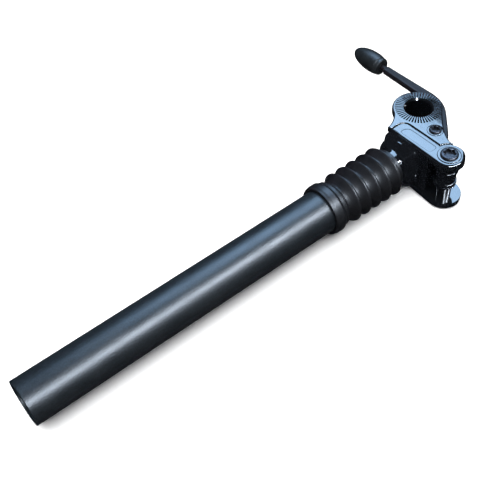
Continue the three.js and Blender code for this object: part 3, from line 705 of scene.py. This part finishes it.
def small_fittings():
    """Bolts, bushes, washers and pads."""
    sunk = HALF_WIDTH - BOLT_SINK
    socket_bolt("hinge_shoulder_bolt", HINGE, HINGE_PIN, HINGE_HEAD, sunk, 19.9, BOLT_END, 3.5,
                "shaft", "hinge_bolt")
    socket_bolt("pivot_shoulder_bolt", PIVOT, PIVOT_PIN, PIVOT_HEAD, sunk, 19.5, BOLT_END, 2.5,
                "head", "lever_pivot_bolt")
    bore, barrel, flange = 3.07, 3.9, 6.2
    bush_near = [(bore, 6.6), (barrel, 6.6), (barrel, 12.7), (flange, 12.7), (flange, 13.2), (bore, 13.2)]
    bush_far = [(bore, 1.8), (barrel, 1.8), (barrel, -3.3), (flange, -3.3), (flange, -3.8), (bore, -3.8)]
    rings = (
        ("hinge_thrust_washer", HINGE, ring_profile(3.1, 6.6, -5.1, -4.0),
         STEEL, "steel", "shaft", "hinge_washer"),
        ("latch_cross_pin", LATCH, rod_profile(LATCH_PIN, BOLT_END, 7.6),
         STEEL, "steel", "shaft", "latch_pin"),
        ("lever_side_washer_near", PIVOT, ring_profile(2.6, 5.0, 2.3, 2.8),
         NYLON, "nylon", "lever", "lever_washer_near"),
        ("lever_side_washer_far", PIVOT, ring_profile(2.6, 5.0, -2.8, -2.3),
         NYLON, "nylon", "lever", "lever_washer_far"),
        ("hinge_flange_bush_near", HINGE, bush_near, NYLON, "nylon", "head", "hinge_bush_near"),
        ("hinge_flange_bush_far", HINGE, bush_far, NYLON, "nylon", "head", "hinge_bush_far"),
    )
    for name, at, profile, material, slot, body, node in rings:
        piece = turned(name, profile, "Z", (at.x, at.y, 0), ease=0.15)
        place(piece, material, slot, body, node)
    for i, side in enumerate((1, -1), start=1):
        outline = rounded(box_outline(DECK_X - 2.2, DECK_X + 0.05, -3.7, 3.7), 0.4)
        middle = side * PAD_SIDE
        piece = stacked(f"deck_pad_{i}", outline, eased(middle - 2.7, middle + 2.7, 0.3))
        place(piece, BOOT_RUBBER, "boot_rubber", "shaft", f"rest_pad_{i}")


# ---------- the tilting head ----------
FLANK_ANGLE = -50.0              # where the front flank leaves the eye
WAIST_ANGLE = 153.0              # where the rear flank leaves the eye
NOSE_ANGLE = 28.0                # end of the arc that the head rolls on round the ears


def head_outline(slimmer=0.0):
    """The head's outline, made slimmer round the eye for the part between the cheeks."""
    radius = EYE_RADIUS - slimmer

    def on_eye(angle):
        return arc(*EYE_RIM, radius, angle, angle)[0]

    roll = EAR_RADIUS + ROLL_GAP
    meet = degrees(acos((DECK_X + ROLL_GAP - HINGE.x) / roll))
    ear = arc(HINGE.x, HINGE.y, roll, meet, NOSE_ANGLE)
    nose, front, rear = ear[-1], on_eye(FLANK_ANGLE), on_eye(WAIST_ANGLE)
    heel = (BASE_X + 0.3 + ROLL_GAP, 14.1 - slimmer)
    points = [(heel[0], DECK_REAR + ROLL_GAP)]
    points += arc(DECK_X - DECK_CORNER, DECK_REAR - DECK_CORNER, DECK_CORNER + ROLL_GAP, 90, 0, 6)
    points += ear
    points += bend(nose, (nose[0] + 1.2, nose[1] + 10.4), (front[0] - 8.6, front[1] - 8.6), front)[1:]
    points += arc(*EYE_RIM, radius, FLANK_ANGLE, WAIST_ANGLE)[1:]
    points += bend(rear, (rear[0] - 0.9, rear[1] - 1.9), (heel[0] + 5.6, heel[1] + 0.5), heel)[1:]
    return points


def knuckle_arm():
    """The web and barrel that carry the head on the hinge pin."""
    low, high, barrel, collar = -3.2, 12.6, 6.2, 6.9
    x, y = HINGE.x, HINGE.y
    outline = [(DECK_X + ROLL_GAP, -15.5), (DECK_X + ROLL_GAP, EAR_GAP_Y - 0.6), (x + 0.8, y + 4.8), (x, y),
               (x + barrel, y - 0.8), (x + 7.6, y + 3), (x + 8.8, y + 5.5), (291.6, -15.5)]
    web = stacked("knuckle", outline, [(0, low), (0, high)])
    joined(web, turned("barrel", rod_profile(barrel, low, high), "Z", (x, y, 0), ease=0.4))
    for start in (low, low + 9):
        joined(web, turned("collar", rod_profile(collar, start, start + 1.8), "Z", (x, y, 0), ease=0.5))
    return web


TEETH_IN, TEETH_OUT = 9.5, 15.0  # the toothed ring's inner and outer radii


def tooth_ring(side):
    """Radial teeth round the bore, deep at the bore and fading outwards, that a saddle clamp locks into."""
    teeth, foot, ridge = 48, 15.8, HALF_WIDTH - 0.02
    valleys = (HALF_WIDTH - 1.3, HALF_WIDTH - 0.1)
    points, faces = [], []
    shape = ((0.0, False), (0.45, False), (0.62, True), (0.83, True))
    count = teeth * len(shape)
    for i in range(teeth):
        for share, low in shape:
            angle = 2 * pi * (i + share) / teeth
            inner_top, outer_top = valleys if low else (ridge, ridge)
            corners = ((TEETH_IN, foot), (TEETH_OUT, foot), (TEETH_OUT, outer_top), (TEETH_IN, inner_top))
            points += [(radius * cos(angle), radius * sin(angle), side * z) for radius, z in corners]
    for i in range(count):
        for k in range(4):
            here, beside = 4 * i + k, 4 * i + (k + 1) % 4
            ahead, ahead_beside = 4 * ((i + 1) % count) + k, 4 * ((i + 1) % count) + (k + 1) % 4
            faces.append((here, beside, ahead_beside, ahead))
    return solid("teeth", points, faces, at=(EYE.x, EYE.y, 0))


def tooth_seat(side):
    """The ring cut into the cheek for the teeth to stand in."""
    low, high = HALF_WIDTH - 1.6, HALF_WIDTH + 1
    profile = ring_profile(TEETH_IN - 0.1, TEETH_OUT + 0.05, side * low, side * high)
    return turned("tooth seat", profile, "Z", (EYE.x, EYE.y, 0))


def bore_cutter():
    """The through bore with a chamfer at each end."""
    wide, edge, over = EYE_BORE + 1.0, HALF_WIDTH, HALF_WIDTH + 1
    profile = [(0, -over), (wide + 0.8, -over), (wide, -edge), (EYE_BORE, -edge + 1.2),
               (EYE_BORE, edge - 1.2), (wide, edge), (wide + 0.8, over), (0, over)]
    return turned("bore", profile, "Z", (EYE.x, EYE.y, 0), segments=128)


def tilt_head():
    """The head: two cheeks round a slimmer middle, the toothed eye, and the knuckle."""
    body = stacked("head_forging", head_outline(), eased(EAR_INNER, HALF_WIDTH, 0.9, 4))
    middle_levels = [(SLIP, -EAR_INNER - 1), (SLIP, EAR_INNER + 1)]
    joined(body, stacked("middle", head_outline(MIDDLE_SLIM), middle_levels),
           stacked("far cheek", head_outline(), eased(-HALF_WIDTH, -EAR_INNER, 0.9, 4)))
    cut(body, drill(HINGE.x, HINGE.y, FAR_EAR_RADIUS + ROLL_GAP, -THROUGH, -EAR_INNER + ROLL_GAP))
    cut(body, mill(260, 330, -15, 40, -SLOT_HALF, SLOT_HALF))
    cut(body, mill(275, 300, -30, -17, -EAR_INNER - 0.3, EAR_INNER + 0.3))
    cut(body, tooth_seat(1), tooth_seat(-1))
    sleeve = turned("sleeve", rod_profile(11, -SLOT_HALF - 0.5, SLOT_HALF + 0.5), "Z", (EYE.x, EYE.y, 0))
    boss_profile = rod_profile(5.2, HALF_WIDTH - 0.8, HALF_WIDTH + 0.3)
    boss = turned("boss", boss_profile, "Z", (PIVOT.x, PIVOT.y, 0), ease=0.3)
    joined(body, sleeve, knuckle_arm(), boss, tooth_ring(1), tooth_ring(-1))
    pivot_hole = drill(PIVOT.x, PIVOT.y, PIVOT_PIN + 0.05, -THROUGH, THROUGH)
    spring_pocket = drill(PIVOT.x, PIVOT.y, 7.6, -8.4, 0)
    cut(body, bore_cutter(), pivot_hole, spring_pocket)
    cut(body, drill(HINGE.x, HINGE.y, 3.95, -THROUGH, THROUGH), bolt_seat(PIVOT, PIVOT_HEAD))
    place(body, HEAD_GLOSS, "head_gloss", "head", "tilt_head")


# ---------- the release lever ----------
def lever_outline():
    """The arm from its tongue under the head, round the pivot and the eye, to the knob."""
    x, y, hub = PIVOT.x, PIVOT.y, 6.0
    relief = hypot(LATCH.x - HINGE.x, LATCH.y - HINGE.y) + LATCH_PIN + 0.25
    tip, root = (degrees(acos((edge - HINGE.x) / relief)) for edge in (274.0, 283.4))
    points = arc(HINGE.x, HINGE.y, relief, tip, root, 1)
    points += arc(x, y, hub, 200, 285, 6)
    points += bend((x + 2.4, y - 5.5), (x + 9, y - 4.2), (305.3, -7.4), (310.6, -1.7))
    points += bend((321.8, 10.2), (326.6, 15.6), (ARM_HIGH, 21.5), (ARM_HIGH, 31))
    points += [(ARM_END_HIGH, ARM_END - 1), (ARM_END_HIGH - 1, ARM_END), (ARM_END_LOW + 1, ARM_END),
               (ARM_END_LOW, ARM_END - 1)]
    points += bend((ARM_LOW, 29), (ARM_LOW, 21), (320.5, 18.8), (316, 13.9))
    points += bend((304.8, 2.8), (300.5, -1.6), (294, -2.4), (x - 1, y + 6.2))
    points += [(284, -1.2), (281, -0.4), (274, -0.3)]
    return points


def lever():
    """The release lever: an arm with a stud for its knob."""
    body = stacked("lever_arm", lever_outline(), eased(-LEVER_HALF, LEVER_HALF, 0.9, steps=4))
    stud = turned("stud", rod_profile(2.1, ARM_END - 6, 92), "Y", (KNOB_X, 0, 0), ease=0.3)
    joined(body, stud)
    cut(body, drill(PIVOT.x, PIVOT.y, PIVOT_PIN + RUN, -10, 10))
    place(body, LEVER_PAINT, "lever_paint", "lever", "lever")


def lever_knob():
    """An egg-shaped grip, fullest near its base, with a fine groove round the base."""
    start, widest, steps = KNOB_START, 0.34, 40
    bore, bore_end = 2.4, 92.4
    profile = [(0, bore_end), (bore, bore_end), (bore, start), (0.74 * KNOB_RADIUS, start),
               (0.8 * KNOB_RADIUS, start + 0.25)]
    for i in range(steps + 1):
        t = i / steps
        swell = sqrt(max(0, 1 - ((t - widest) / (1 - widest)) ** 2))
        early = 1 - 0.16 * ((widest - t) / widest) ** 2
        along = start + 0.5 + (KNOB_END - start - 0.5) * t
        groove = 0.3 if 2.2 < along - start < 2.8 else 0.0
        profile.append((KNOB_RADIUS * (early if t < widest else swell) - groove, along))
    profile[-1] = (0, KNOB_END)
    piece = turned("knob_grip", profile, "Y", (KNOB_X, 0, 0))
    place(piece, KNOB_RUBBER, "knob_rubber", "lever", "lever_knob")


# ---------- pieces inside, kept as they are ----------
def inner_pieces():
    """Gives each piece inside the post its material. Their shapes stay as they are."""
    for node, material in (
        ("guide_bushing", NYLON),
        ("guide_key_1", STEEL),
        ("guide_key_2", STEEL),
        ("topout_bumper", BOOT_RUBBER),
        ("top_collar", BARE_ALLOY),
        ("wiper_seal", BOOT_RUBBER),
        ("lower_spring_seat", NYLON),
        ("elastomer", URETHANE),
        ("stanchion", BARE_ALLOY),
        ("lower_slider", NYLON),
        ("upper_spring_seat", NYLON),
        ("shaft_set_screw", BLACK_STEEL),
        ("lever_spacer", BRONZE),
    ):
        mesh = frame["nodes"][node].data
        mesh.materials.clear()
        mesh.materials.append(material)


# ---------- floor, lights and camera ----------
def floor():
    """A matt white board that the post lies on."""
    made, tree, at = new_material("matt_white_board")
    grain = add(tree, "TexNoise", {"Vector": at, "Scale": per_metre(2), "Detail": 2.0})
    colour = add(tree, "ValToRGB", {"Fac": grain.outputs["Fac"]}, [(0.3, "#fcfcfd"), (0.7, "#ffffff")])
    finished(tree, Base_Color=colour.outputs["Color"], Roughness=0.9, Specular_IOR_Level=0.0)
    bpy.ops.mesh.primitive_plane_add(size=8, location=(0, 0, -0.0003))
    board = bpy.context.object
    board.name = "floor"
    board.data.materials.append(made)
    board.visible_glossy = False


def backdrop():
    """A pale dome behind everything, which only the camera sees."""
    made, tree, at = new_material("pale_paper_backdrop")
    grain = add(tree, "TexNoise", {"Vector": at, "Scale": per_metre(4), "Detail": 2.0})
    colour = add(tree, "ValToRGB", {"Fac": grain.outputs["Fac"]}, [(0.3, "#fafafb"), (0.7, "#ffffff")])
    glow = add(tree, "Emission", {"Color": colour.outputs["Color"]})
    add(tree, "OutputMaterial", {"Surface": glow.outputs[0]})
    bpy.ops.mesh.primitive_uv_sphere_add(segments=48, ring_count=24, radius=3.9)
    dome = bpy.context.object
    dome.name = "backdrop"
    dome.data.materials.append(made)
    dome.visible_glossy = dome.visible_diffuse = dome.visible_shadow = dome.visible_transmission = False


def area_light(name, place_at, aim, size, power, colour, seen_in_gloss=True, lights_floor=True):
    """A rectangular light that shines from its place towards an aim."""
    light = bpy.data.lights.new(name, "AREA")
    light.shape = "RECTANGLE"
    light.size, light.size_y = size
    light.energy = power
    light.color = linear(colour)[:3]
    made = bpy.data.objects.new(name, light)
    made.location = place_at
    made.rotation_euler = (Vector(aim) - Vector(place_at)).to_track_quat("-Z", "Y").to_euler()
    made.visible_glossy = seen_in_gloss
    made.visible_diffuse = lights_floor
    bpy.context.scene.collection.objects.link(made)


def lights():
    """A cool panel for the head's flat faces, a strip that draws the tube's streak, and a soft ceiling."""
    area_light("sky_panel", (0.495, 0.33, 0.86), (0.495, 0.33, 0.0), (0.79, 0.70), 18, "#aed4fb",
               lights_floor=False)
    area_light("front_strip", (0.06, -0.58, 0.60), (-0.03, -0.03, 0.0), (1.1, 0.045), 28, "#e2efff",
               lights_floor=False)
    area_light("ceiling", (-0.2, 0.1, 1.5), (0.0, 0.0, 0.0), (2.6, 2.6), 105, "#ffffff",
               seen_in_gloss=False)
    world = bpy.data.worlds.new("dim room")
    world.use_nodes = True
    world.node_tree.nodes["Background"].inputs["Color"].default_value = linear("#2a2d33")
    world.node_tree.nodes["Background"].inputs["Strength"].default_value = 0.6
    bpy.context.scene.world = world


def camera():
    """A long lens, above and in front of the post's bottom end."""
    view = bpy.data.cameras.new("camera")
    view.sensor_width = 36.0
    view.lens = 62.25
    made = bpy.data.objects.new("camera", view)
    right = Vector((0.7867, -0.6141, -0.0636))
    up = Vector((0.4981, 0.5704, 0.6531))
    right.normalize()
    back = right.cross(up).normalized()
    up = back.cross(right)
    turn = Matrix((right, up, back)).transposed().to_4x4()
    made.matrix_world = Matrix.Translation((-0.1924, -0.2825, 0.3857)) @ turn
    bpy.context.scene.collection.objects.link(made)
    bpy.context.scene.camera = made
    bpy.context.scene.view_settings.view_transform = "Standard"


camera()
lights()
floor()
backdrop()
post_tube()
boot_cuff()
boot_bellows()
springs()
preload_adjuster()
bracket()
small_fittings()
tilt_head()
lever()
lever_knob()
inner_pieces()
